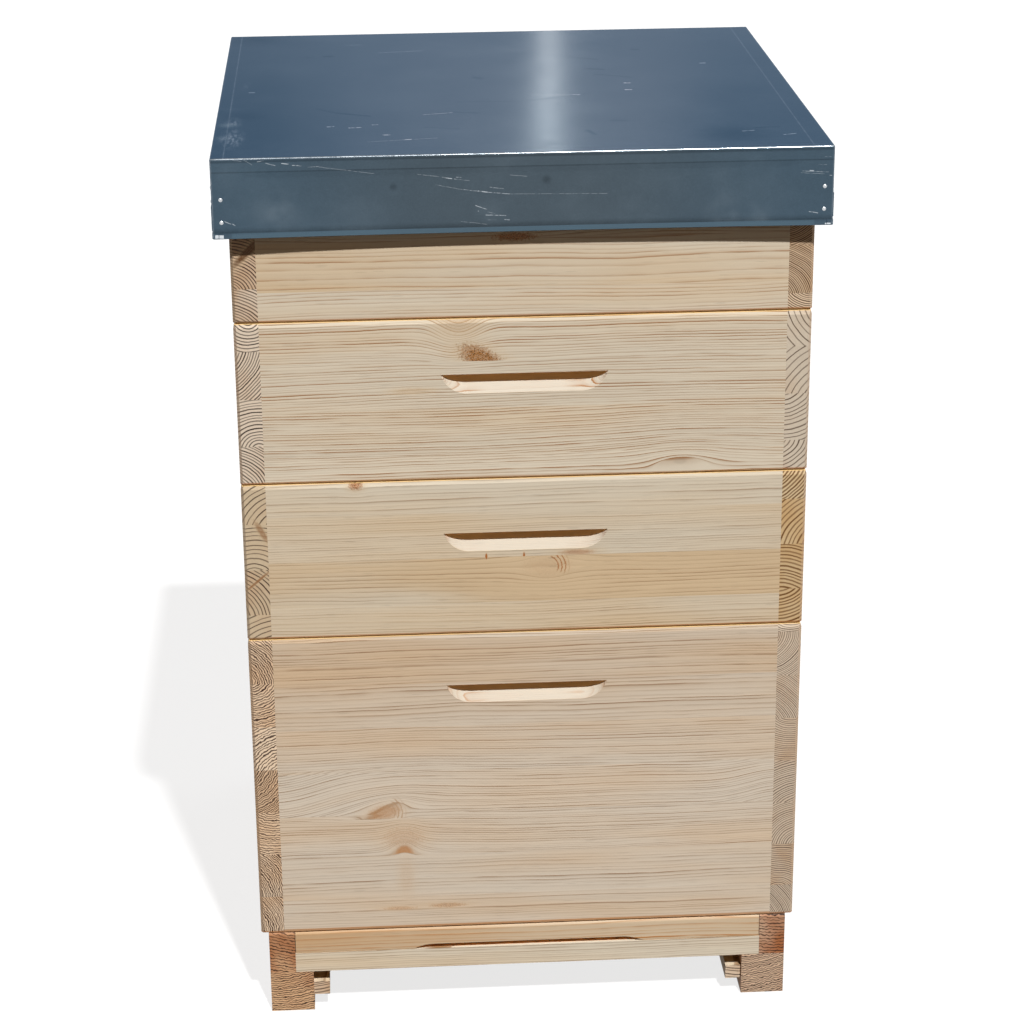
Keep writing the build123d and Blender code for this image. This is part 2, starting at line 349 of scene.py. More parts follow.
# shared effect: a knot that the grain bends round, kept within its own stave; arcs lie on its right
def knotBend(along, height, atAlong, atHeight, low, high, reach, core, stretch, shear, push, dip, ragged,
             depth, glow, arcs, tilt):
    run, rise = along - atAlong, height - atHeight
    slanted = rise * shear + run

    def far(radius):
        return (slanted / (radius * stretch)) ** 2.0 + (rise / radius) ** 2.0

    inside = (height > low) * (height < high)
    pushed = inside * push / largest(far(reach), 1.0) ** 0.8
    wide = (run / (reach * stretch)) ** 2.0
    bell = calc("EXPONENT", wide * -1.0) * fade(absolute(rise) / reach, 3.0, 0.6)
    bent = bell * inside * dip + (height - rise * pushed)

    flat = joined(along, height)
    torn = cloud(flat, 420.0, 3.0, 0.7)
    distance = (torn - 0.5) * ragged + calc("SQRT", far(core))
    rings = (calc("SINE", distance * 16.0) - 1.0) * (ragged * 0.12)
    heart = fade(distance, 1.2, 0.5) * (rings + 1.0) * (inside * depth)
    halo = fade(distance, 2.2, 0.5) * (inside * glow)
    speck = heart * fade(cloud(flat, 900.0), 0.52, 0.62) * fade(ragged, 0.5, 1.5)

    away = longSide(run, rise)
    arc = calc("FRACT", (torn * 0.003 + away) / 0.0034)
    arc = fade(absolute(arc - 0.5), 0.26, 0.08)
    aside = run * calc("COSINE", tilt) + rise * calc("SINE", tilt)
    side = fade(aside / (away + 0.0001), 0.55, 0.9)
    span = fade(away, 0.006, 0.011) * fade(away, 0.023, 0.015)
    return {"height": bent, "core": heart, "halo": halo, "speck": speck,
            "arcs": arc * side * span * inside * arcs}


# shared finish: bare planed pine from its masks
def pineSkin(late, endLate, fibre, broad, fleck, tone, warm, end, core, halo, speck, under, fresh, edge,
             lateShare, endShare, earlyColour, warmColour, lateColour, endColour, endWarmColour,
             endLateColour, knotColour, underColour, freshColour):
    warmth = fade(warm + spread(broad, -0.7, 0.9), 0.0, 1.0)
    wood = mixColour(warmth, earlyColour, warmColour)
    wood = mixColour(fresh * 0.85, wood, freshColour)
    lines = mixColour(fresh * 0.8, lateColour, knotColour)
    lateAmount = late * lateShare * spread(fibre, 0.5, 1.4) * spread(fresh, 1.0, 0.8)
    face = mixColour(lateAmount, wood, lines)
    endWood = mixColour(warmth, endColour, endWarmColour)
    endWood = mixColour(endLate * endShare, endWood, endLateColour)
    colour = mixColour(end, face, endWood)
    colour = mixColour(halo * 0.5, colour, warmColour)
    colour = mixColour(core * spread(fibre, 0.7, 1.1), colour, knotColour)
    # corners and box feet are tinted towards the knot colour, at the feet as a painted shadow line; then
    # painted shade tints the shaded parts warm
    colour = mixColour(edge * spread(broad, 0.6, 1.0), colour, knotColour)
    colour = mixColour(under, colour, underColour)
    shade = spread(fibre, 0.92, 1.08) + spread(broad, -0.08, 0.08) + spread(tone, -0.2, 0.2)
    shade = shade - fleck * 0.12 - speck * 0.75
    return {"colour": scaled(colour, shade), "roughness": spread(fibre, 0.55, 0.75) - late * 0.1,
            "height": late * 0.5 + fibre}


# pine colours; the two shade tint colours are warm painted shade for down-facing faces, shaded rims and the
# shaded inside of the hand-holds
pine = {
    "early": srgb(211, 200, 180), "warm": srgb(203, 179, 145), "late": srgb(124, 86, 46),
    "end": srgb(222, 205, 184), "endWarm": srgb(190, 156, 122), "endLate": srgb(50, 24, 8),
    "knot": srgb(160, 98, 46), "under": srgb(238, 198, 132), "fresh": srgb(192, 182, 166),
    "scorch": srgb(244, 206, 150), "lateShare": 1.0, "endShare": 1.0, "ringWidth": 0.0029, "uneven": 0.3,
    "sway": 0.004, "ripple": 0.0006, "rippleSize": 90.0, "jitter": 1.6, "endLine": 0.0005,
    "pithThrough": 0.03, "pithNear": 0.035, "pithFar": 0.06, "staveWidth": 0.044, "relief": 0.00025,
}
sidePine = dict(pine, lateShare=0.85, ringWidth=0.0028, jitter=0.8, uneven=0.25, pithThrough=0.05,
                pithNear=0.016, pithFar=0.03)
woodColours = ("early", "warm", "late", "end", "endWarm", "endLate", "knot", "fresh")
ringSizes = ("ringWidth", "uneven", "pithThrough", "pithNear", "pithFar", "sway", "ripple", "rippleSize",
             "jitter", "endLine")
plainKnot = {
    "low": -1.0, "high": 1.0, "reach": 0.0005, "core": 0.00001, "stretch": 1.3, "shear": 0.0, "push": 0.86,
    "dip": 0.0, "ragged": 1.5, "depth": 1.0, "glow": 1.0, "arcs": 0.0, "tilt": 0.0,
}

ringGroup = newGroup("growth rings", growthRings)
fibreGroup = newGroup("fibre streaks", fibreStreaks)
knotGroup = newGroup("knot", knotBend)
pineGroup = newGroup("bare pine", pineSkin)
print("wood groups built")

mostStaves = 32  # a stave's number is carried as a share of this
thinnestStave = 0.004

# hand-hold: its ceiling below the rim, its length, depth and height, and the slope of the key light's shadow
# line inside it, above which it gets painted shade
scoopSize = {"drop": 0.0525, "length": 0.148, "depth": 0.0135, "height": 0.021, "slope": 1.48, "stretch": 3.5}
# painted shade at the joints: a box's foot gets a brown painted shadow line, and the shaded top of its rim
# under the box above a warm painted shade tint
handling = {"foot": 0.0019, "footFade": 0.0011, "footShare": 0.9, "rimFrom": 0.0026, "rimTo": 0.0015}


# a wall's staves, as steps over its height: number, middle, warmth, tone and line strength of each
def staveSteps(height, low, high, look, wall):
    size = high - low
    edges = [0.0]
    while wall["edge"] + look["staveWidth"] * (len(edges) - 1) < size - thinnestStave:
        edges.append(wall["edge"] + look["staveWidth"] * (len(edges) - 1))
    share = (height - low) / size

    def steps(colours):
        return ramp(share, zip((edge / size for edge in edges), colours), "CONSTANT")

    def given(kind, start):
        values = wall.get(kind, ())
        return [*values, *[start] * (len(edges) - len(values))]

    middles = [(bottom + top) / 2 / size for bottom, top in zip(edges, edges[1:] + [size])]
    numbers = [(index + 1) / mostStaves for index in range(len(edges))]
    main = steps(zip(numbers, middles, given("warm", 0.0), given("tone", 0.5)))
    stave, middle, warmth = split(main["Color"])
    line = steps((level, level, level, 1.0) for level in given("line", 1.0))["Color"]
    return stave * float(mostStaves), middle * size + low, warmth, main["Alpha"], line


# a knot so far along the board and above its bottom, kept between low and high
def knot(atAlong, atHeight, **shape):
    return dict(plainKnot, atAlong=atAlong, atHeight=atHeight, **shape)


# each knot bends the grain of its own stave, and the strongest mark of each kind shows
def knotMarks(knots, along, height, low, kinds):
    marks = dict.fromkeys(kinds, 0.0)
    for shape in knots:
        raised = {key: low + shape[key] for key in ("atHeight", "low", "high")}
        out = useGroup(knotGroup, along=along, height=height, **dict(shape, **raised))
        height = out["height"]
        marks = {kind: largest(mark, out[kind]) for kind, mark in marks.items()}
    return height, marks


# order names the directions along the grain, through the board and across the staves; where it isn't given,
# the grain follows the longer level side
def pineBoard(name, box, look, seed, wall, order=None):
    material, position, normal = newSurface(name)
    parts, facing = axes(position), axes(normal)
    size = box[1] - box[0]
    order = order or ("xyz" if size.x > size.y else "yxz")
    turned = ["xyz".index(letter) for letter in order]
    along, through, height = (parts[index] for index in turned)
    through = through - (box[0][turned[1]] + box[1][turned[1]]) / 2
    low, high = (corner[turned[2]] for corner in box)
    stave, middle, warmth, tone, line = staveSteps(height, low, high, look, wall)
    stave = stave + float(seed)
    if "warmFrom" in wall:  # the heartwood colour comes in along the board
        warmth = warmth * fade(along, *wall["warmFrom"], 1.0)

    bent, marks = knotMarks(wall.get("knots", ()), along, height, low, ("core", "halo", "speck", "arcs"))
    arcs = marks.pop("arcs")
    marks["core"] = largest(marks["core"], arcs * 0.6)
    endFace = fade(absolute(facing[turned[0]]), 0.6, 0.8)
    endMarks = knotMarks(wall.get("endKnots", ()), through, height, low, ("core", "halo"))[1]
    for kind, mark in endMarks.items():
        marks[kind] = largest(marks[kind], endFace * mark)

    # painted shade: down-facing faces are tinted towards a warm shade colour
    under = fade(facing[2], -0.2, -0.5)
    fresh, underColour = 0.0, look["under"]
    if "scoop" in wall:  # the hand-hold's inside takes a fresh-cut wood colour, and above the key light's shadow line a warm painted shade tint
        front, ceiling = wall["scoop"]
        beside, deep, drop = absolute(parts[0]), parts[1] - front, parts[2] - ceiling
        fresh = fade(deep, 0.0001, 0.0004) * (deep < scoopSize["depth"]) * (drop < 0.0005)
        fresh = fresh * (beside < scoopSize["length"] / 2 + 0.001) * (drop > -scoopSize["height"])
        through = deep * fresh * scoopSize["stretch"] + through
        line = line * largest(1.0 - fresh, fade(beside, 0.03, 0.055, 0.15, 1.0))
        underColour = mixColour(fresh, look["under"], look["scorch"])
        under = largest(under, fresh * fade(deep * scoopSize["slope"] + drop, -0.0004, 0.0012))
    edge = fade(calc("MINIMUM", absolute(facing[0]), absolute(facing[1])), 0.5, 0.65, 0.0, 0.25)
    # painted shade: the foot band darkens towards the knot colour as a painted shadow line at the joint, and
    # the rim's shaded bevel top takes the warm shade tint
    if wall.get("stacked"):
        foot = low + wall.get("foot", handling["foot"])
        edge = largest(edge, fade(height, foot, foot - handling["footFade"], 0.0, handling["footShare"]))
        rim = fade(height, high - handling["rimFrom"], high - handling["rimTo"])
        under = largest(under, rim * fade(facing[2], 0.9, 0.6))
    if "sill" in wall:  # painted shade: the sill inside the entrance slot gets a warm brown tint from where the slot's shadow starts
        half, start, end = wall["sill"]
        worn = fade(facing[2], 0.4, 0.8) * (absolute(parts[0]) < half)
        marks["core"] = worn * fade(parts[1] - box[0][1], start, end)

    grain = {"along": along, "through": through, "height": bent, "stave": stave}
    rings = useGroup(ringGroup, middle=middle, **grain, **picked(look, ringSizes))
    skin = useGroup(
        pineGroup, late=largest(rings["late"], arcs), endLate=rings["endLate"], tone=tone, warm=warmth,
        end=endFace, edge=edge, under=under, underColour=underColour, fresh=fresh,
        lateShare=line * look["lateShare"], endShare=look["endShare"], **marks,
        **useGroup(fibreGroup, **grain), **picked(look, woodColours, "Colour"))
    return finishSurface(material, skin["colour"], skin["roughness"], (skin["height"], 0.5, look["relief"]),
                         {"Specular IOR Level": 0.3})


# the four boxes; stave edges and knots in metres above each box's bottom, and warmth, tone and line strength
# from its lowest stave up, as seen in the photo
boxWalls = {
    "feeder": {
        "front": dict(
            edge=0.026, warm=(0.25, 0.6, 0.3), warmFrom=(0.17, -0.2, 0.35),
            look=dict(ringWidth=0.0042, sway=0.009, late=srgb(146, 100, 56)),
            knots=[knot(-0.008, 0.0715, core=0.004, stretch=5.0)]),
        "left": dict(
            edge=0.03, warm=(0.5, 0.6, 0.7), look=dict(knot=srgb(96, 64, 36)),
            endKnots=[knot(0.006, 0.065, core=0.017, stretch=0.3, shear=-0.95, ragged=0.6, depth=1.1)]),
        "right": dict(
            edge=0.014, warm=(0.0, 0.4, 0.4),
            look=dict(ringWidth=0.0018, end=srgb(226, 202, 172), endWarm=srgb(204, 172, 134),
                      endLate=srgb(72, 40, 15))),
        "back": dict(edge=0.02)},
    "upper_super": {
        "front": dict(
            edge=0.0218, tone=(0.62,), line=(0.85,),
            look=dict(lateShare=1.45, late=srgb(142, 98, 54), knot=srgb(156, 106, 56)),
            knots=[
                knot(-0.0366, 0.1095, reach=0.009, core=0.0165, stretch=1.05, shear=0.77, low=0.1095,
                     depth=1.2),
                knot(-0.058, 0.142, reach=0.015, core=0.012, stretch=1.45, push=0.2, dip=0.013, depth=0.15),
                knot(0.14, 0.002, reach=0.013, stretch=2.0),
                knot(-0.101, 0.083, core=0.0025, stretch=6.0, depth=0.1)]),
        "left": dict(edge=0.035, tone=(0.42,) * 4, look=dict(ringWidth=0.0029, endLate=srgb(34, 16, 6))),
        "right": dict(
            edge=0.027, tone=(0.28, 0.25, 0.25, 0.28),
            look=dict(endShare=0.95, ringWidth=0.0044, end=srgb(212, 198, 178), endLate=srgb(76, 54, 36))),
        "back": dict(edge=0.016)},
    "lower_super": {
        "front": dict(
            edge=0.029, warm=(0.45, 0.9, 0.35, 0.2), warmFrom=(-0.17, 0.03, 0.55),
            tone=(0.5, 0.45, 0.46, 0.46), line=(1.0, 0.65, 0.7, 0.65),
            knots=[
                knot(0.019, 0.0625, reach=0.01, core=0.012, stretch=1.9, push=0.7, high=0.0733, depth=0.12,
                     arcs=1.4, tilt=0.4),
                knot(-0.15, 0.012, core=0.012, stretch=8.0, depth=0.0, glow=0.9, high=0.029),
                knot(0.035, 0.062, core=0.018, stretch=1.5, depth=0.0, glow=0.7, high=0.0733),
                knot(0.0466, 0.0757, core=0.003, stretch=5.5, depth=0.55, ragged=0.8),
                knot(-0.152, 0.1465, reach=0.004, core=0.005),
                knot(-0.0358, 0.074, core=0.0036, stretch=0.3, ragged=0.5, depth=1.6),
                knot(-0.0017, 0.0735, core=0.004, stretch=0.26, ragged=0.5, depth=1.6)]),
        "left": dict(
            edge=0.023, warm=(0.0, 0.3), tone=(0.3,) * 4,
            look=dict(knot=srgb(140, 96, 58), end=srgb(206, 186, 156), ringWidth=0.0042),
            endKnots=[knot(0.006, 0.104, core=0.011, stretch=0.3, shear=0.5, ragged=0.8, depth=0.8),
                      knot(0.0005, 0.0565, core=0.0105, stretch=0.19, shear=-1.15, ragged=0.7)]),
        "right": dict(
            edge=0.033, warm=(0.5, 0.6, 0.4, 0.2),
            look=dict(ringWidth=0.0036, endLine=0.0007, end=srgb(210, 188, 150), endWarm=srgb(192, 158, 112),
                      endLate=srgb(96, 58, 16))),
        "back": dict(edge=0.03)},
    "brood": {
        "front": dict(
            edge=0.033, warm=(0.3, 0.35, 0.3, 0.05, 0.2, 0.35, 0.5, 0.6), warmFrom=(0.05, -0.22, 0.75),
            tone=(0.44, 0.44, 0.5, 0.5, 0.46, 0.42, 0.4, 0.36), line=(0.85, 0.85, 1.0, 1.15), foot=0.003,
            look=dict(early=srgb(210, 198, 181), warm=srgb(203, 177, 146), knot=srgb(172, 114, 56)),
            knots=[
                knot(-0.1345, 0.1226, reach=0.011, core=0.009, stretch=1.7, low=0.1166, depth=0.6, arcs=0.55,
                     tilt=0.2, ragged=0.9, shear=-0.7),
                knot(-0.235, 0.143, reach=0.024, stretch=2.4, push=0.0, dip=0.016, low=0.121, high=0.166),
                knot(0.238, 0.132, reach=0.02, stretch=2.0, push=0.0, dip=-0.012, low=0.121, high=0.166),
                knot(-0.1164, 0.0955, reach=0.0085, core=0.011, stretch=1.8, push=0.0, dip=-0.008,
                     depth=0.25),
                knot(-0.1165, 0.0766, reach=0.005, core=0.0042, stretch=2.3, low=0.0762, ragged=0.3,
                     depth=0.85),
                knot(-0.122, 0.0211, core=0.002, stretch=8.0, depth=0.4),
                knot(-0.0763, 0.0224, core=0.0025, stretch=7.0, depth=0.5),
                knot(-0.115, 0.055, core=0.016, stretch=0.4, depth=0.08, glow=0.6)]),
        "left": dict(
            edge=0.038, warm=(0.4, 0.4, 0.5, 0.7, 0.0, 0.4, 0.5, 0.7), tone=(0.5, 0.5, 0.46, 0.44),
            look=dict(ringWidth=0.0024, ripple=0.0019, rippleSize=200.0, endLine=0.00055,
                      end=srgb(230, 206, 178), endWarm=srgb(218, 182, 146), endLate=srgb(46, 22, 8))),
        "right": dict(
            edge=0.03, warm=(0.0, 0.25, 0.2, 0.2, 0.15), tone=(0.36, 0.34, 0.33, 0.33, 0.36),
            look=dict(endShare=0.9, ringWidth=0.002, endLine=0.00036, end=srgb(208, 190, 168))),
        "back": dict(edge=0.02)},
}


def dressBoxes():
    seed = 3
    for storey, sides in boxWalls.items():
        for side, wall in sides.items():
            node = storey + "_" + side + "_wall"
            low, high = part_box(node)
            wall = dict(wall, stacked=True)
            if side == "front" and storey != "feeder":
                wall["scoop"] = (low.y, high.z - scoopSize["drop"])
            look = dict(pine if side in ("front", "back") else sidePine, **wall.get("look", {}))
            dress(node, pineBoard(node, (low, high), look, seed, wall))
            seed += 40
    print("box walls dressed")


dressBoxes()

# bottom board and other plain pine sticks
stickPine = dict(pine, staveWidth=0.5)
# the sill's knot colour is the warm tint of its painted shade
sillPine = dict(stickPine, knot=srgb(240, 184, 128))
reducerPine = dict(stickPine, early=srgb(202, 182, 154), warm=srgb(188, 153, 113), late=srgb(170, 114, 58),
                   lateShare=1.3, ringWidth=0.0036, sway=0.008)
runnerPine = dict(
    pine, early=srgb(186, 146, 112), warm=srgb(170, 118, 82), late=srgb(140, 92, 60), end=srgb(212, 172, 132),
    endWarm=srgb(152, 92, 52), endLate=srgb(40, 16, 4), ringWidth=0.0026, ripple=0.0019, rippleSize=240.0,
    jitter=0.8, pithNear=0.1, pithFar=0.05)
rightRunnerPine = dict(runnerPine, end=srgb(208, 178, 150))
stickLooks = {"floor_front_rail": sillPine, "entrance_reducer": reducerPine, "runner_left": runnerPine,
              "runner_right": rightRunnerPine}
stickWarmth = {
    "floor_front_rail": 0.0, "floor_back_rail": 0.2, "entrance_reducer": 0.5, "board_handle": 0.2,
    "floor_side_rail_left": 0.0, "floor_side_rail_right": 0.1, "tray_rail_left": 0.4, "tray_rail_right": 0.4,
    "runner_left": 0.1, "runner_right": 0.0, "chimney_board_front": 0.0, "chimney_board_back": 0.3,
    "roof_rim_front": 0.2, "roof_rim_back": 0.0, "roof_rim_left": 0.1, "roof_rim_right": 0.4,
}
# the sill's painted shade: its half width, and how far in it starts and is full; the warmth's start, end and
# least share
stickMarks = {
    "floor_front_rail": {"sill": (0.11, 0.0024, 0.0036)},
    "entrance_reducer": {"warmFrom": (0.03, -0.16, 0.25)},
}
runnerLedge = 0.042


def dressSticks():
    for number, (node, warmth) in enumerate(stickWarmth.items()):
        wall = {"edge": runnerLedge, "warm": (warmth, warmth + 0.5), **stickMarks.get(node, {})}
        look = stickLooks.get(node, stickPine)
        dress(node, pineBoard(node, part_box(node), look, 700 + 7 * number, wall))
    print("rails and runners dressed")


dressSticks()

# the roof board is glued from wide planks lying side by side along Y
roofPlank = dict(pine, staveWidth=0.09)
dress("roof_board", pineBoard("roof board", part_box("roof_board"), roofPlank, 900, {"edge": 0.05}, "xzy"))

# plywood: quiet face veneer and cross-laid layers at the edges
plywood = {"early": srgb(214, 188, 150), "late": srgb(188, 154, 114), "dark": srgb(150, 112, 76),
           "layers": {"inspection_board": 3, "feeder_floor": 7}, "relief": 0.0002}


def plyPanel(node, layers):
    low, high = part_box(node)
    material, position, normal = newSurface(node)
    x, y, z = axes(position)
    fibres = useGroup(fibreGroup, along=x, through=z, height=y)
    figure = cloud(joined(x * 2.5, y * 16.0), detail=3.0)
    waves = fade(calc("FRACT", figure * 9.0), 0.2, 1.0)
    face = mixColour(waves * 0.5, plywood["early"], plywood["late"])
    depth = fade(z, low.z, high.z, 0.0, float(layers), "LINEAR")
    odd = calc("FRACT", depth * 0.5) > 0.5
    edge = mixColour(odd, plywood["early"], plywood["dark"])
    colour = mixColour(fade(absolute(axes(normal)[2]), 0.7, 0.4), face, edge)
    shade = spread(fibres["fibre"], 0.88, 1.12) - fibres["fleck"] * 0.2
    finishSurface(material, scaled(colour, shade), spread(fibres["fibre"], 0.5, 0.7),
                  (fibres["fibre"], 0.4, plywood["relief"]))
    dress(node, material)


for node, layers in plywood["layers"].items():
    plyPanel(node, layers)
print("panels dressed")

# frames: one bar after another along X
frameWood = dict(
    pine, early=srgb(214, 194, 160), warm=(0.6, 0.4, 0.25, 1.0), late=srgb(178, 146, 108), lateShare=0.4,
    ringWidth=0.002, pithThrough=0.05, pithNear=0.03, pithHeight=0.4, pitch=0.038, relief=0.0002)


def barWood(name, order, seed):
    material, position = newSurface(name)[:2]
    parts = axes(position)
    along, through, height = (parts["xyz".index(letter)] for letter in order)
    bar = calc("FLOOR", parts[0] / frameWood["pitch"])
    grain = {"along": along, "through": through, "height": height, "stave": bar + float(seed)}
    inBar = dict(grain, through=through - (bar + 0.5) * frameWood["pitch"])
    rings = useGroup(ringGroup, middle=frameWood["pithHeight"], **inBar, **picked(frameWood, ringSizes))
    skin = useGroup(
        pineGroup, late=rings["late"], tone=rings["chance"], lateShare=frameWood["lateShare"],
        **useGroup(fibreGroup, **grain), **picked(frameWood, woodColours, "Colour"))
    return finishSurface(material, skin["colour"], skin["roughness"],
                         (skin["height"], 0.4, frameWood["relief"]))


# shared effect: walls of a honeycomb laid over a sheet
def hexCells(u, v, cell):
    across, up = u / cell, v / cell
    root = math.sqrt(3)

    def fromMiddle(shift):
        x = absolute(calc("FLOORED_MODULO", across + shift / 2, 1.0) - 0.5)
        y = absolute(calc("FLOORED_MODULO", up + shift * root / 2, root) - root / 2)
        return largest(x, x * 0.5 + y * (root / 2))

    return {"wall": fade(calc("MINIMUM", fromMiddle(0), fromMiddle(1)), 0.36, 0.47)}


hexGroup = newGroup("honeycomb", hexCells)
waxLook = {"floor": srgb(222, 176, 92), "wall": srgb(198, 142, 58), "cell": 0.0053, "relief": 0.0006}


def waxSheet():
    material, position = newSurface("wax foundation")[:2]
    y, z = axes(position)[1:]
    walls = useGroup(hexGroup, u=y, v=z, cell=waxLook["cell"])["wall"]
    bloom = cloud(position, 45.0, 3.0)
    colour = scaled(mixColour(walls, waxLook["floor"], waxLook["wall"]), spread(bloom, 0.85, 1.15))
    return finishSurface(material, colour, spread(bloom, 0.35, 0.6), (walls, 0.8, waxLook["relief"]))


def dressFrames():
    wax = waxSheet()
    for number, storey in enumerate(("brood", "lower_super", "upper_super")):
        for kind, order in (("top_bars", "yxz"), ("bottom_bars", "yxz"), ("side_bars", "zxy")):
            node = storey + "_" + kind
            dress(node, barWood(node, order, 1200 + 60 * number))
        dress(storey + "_foundation", wax)
    print("frames dressed")


dressFrames()

# shared effect: zinc crystals, soft clouds and fine random strokes for the metal parts
strokeKinds = ((0.25, 0.03, 0.0006, 0.985), (-0.5, 0.018, 0.0005, 0.988), (1.4, 0.012, 0.0006, 0.99),
               (0.05, 0.009, 0.0009, 0.985))  # turn, length, width and rarity


def metalWear(position, u, v, grain):
    strokes = 0.0
    for turn, length, width, rarity in strokeKinds:
        first = u * (math.cos(turn) / length) + v * (math.sin(turn) / length)
        second = v * (math.cos(turn) / width) - u * (math.sin(turn) / width)
        dashes = cells(joined(first, second, turn), dimensions="2D")
        lucky = split(dashes["Color"])[0] > rarity
        strokes = largest(strokes, fade(dashes["Distance"], 0.45, 0.1) * lucky)
    crystals = cells(position, grain)
    return {"crystal": split(crystals["Color"])[0], "cloud": cloud(position, 14.0, 4.0, 0.6),
            "stroke": strokes}


# shared effect: one drawn scratch between two points of a sheet
def scratchLine(u, v, fromU, fromV, toU, toV, width, strength):
    pu, pv = u - fromU, v - fromV
    du, dv = toU - fromU, toV - fromV
    share = outlets(wired("Clamp", {"Value": (pu * du + pv * dv) / (du * du + dv * dv)}))["Result"]
    away = longSide(pu - du * share, pv - dv * share)
    return {"mark": fade(away / width, 1.0, 0.3) * strength}


wearGroup = newGroup("metal wear", metalWear)
scratchGroup = newGroup("scratch", scratchLine)

zincLook = {"dark": (0.42, 0.44, 0.46, 1), "light": (0.62, 0.64, 0.66, 1), "grain": 350.0}
tinLook = {"dark": (0.5, 0.51, 0.52, 1), "light": (0.66, 0.67, 0.68, 1), "grain": 60.0}
fibreLook = {"dark": srgb(118, 88, 58), "light": srgb(176, 142, 104), "relief": 0.0004}


def brightMetal(name, look):
    material, position = newSurface(name)[:2]
    x, y = axes(position)[:2]
    wear = useGroup(wearGroup, position=position, u=x, v=y, grain=look["grain"])
    share = wear["crystal"] * 0.6 + wear["cloud"] * 0.5
    roughness = spread(wear["cloud"], 0.28, 0.5) + wear["stroke"] * 0.2
    return finishSurface(material, mixColour(share, look["dark"], look["light"]), roughness,
                         plain={"Metallic": 1.0})


def fibreBoard():
    material, position = newSurface("fibre board")[:2]
    fuzz = cloud(position, 900.0, 3.0, 0.7)
    share = fuzz * 0.7 + cloud(position, 20.0) * 0.4
    return finishSurface(material, mixColour(share, fibreLook["dark"], fibreLook["light"]),
                         spread(fuzz, 0.8, 1.0), (fuzz, 0.5, fibreLook["relief"]))


zinc = brightMetal("zinc", zincLook)
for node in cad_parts:
    if node.endswith(("_screws", "_frame_rests", "roof_nails")):
        dress(node, zinc)
dress("feeder_cap", brightMetal("tinplate", tinLook))
dress("roof_insulation", fibreBoard())

# the folded sheet is drawn again with its bends, creases, hem, corner tabs and bowed end skirts; rows are the
# heights at which the skirt's mesh is cut across
roofFold = {
    "thickness": 0.0006, "bend": 0.0013, "corner": 0.0016, "hem": 0.005, "creaseDrop": 0.012,
    "creaseDepth": 0.0004, "creaseWidth": 0.0012, "bow": 0.0036, "bowFrom": 0.794, "tab": 0.022,
    "tabTop": 0.797, "wave": 0.00025, "columns": 44, "rowsBeside": (0.780, 0.785, 0.790),
    "rowsAbove": (0.804, 0.811, 0.818),
    "topInsets": (0.004, 0.015, 0.03, 0.05, 0.075, 0.1, 0.125, 0.15, 0.175, 0.2, 0.225, 0.245),
    "hemEnds": (0.985, 0.987, 1.0), "hemStop": (0.2516, 0.2496), "cornerHighlight": (0.2652, 0.2664),
    "sharpAngle": math.radians(38),
}

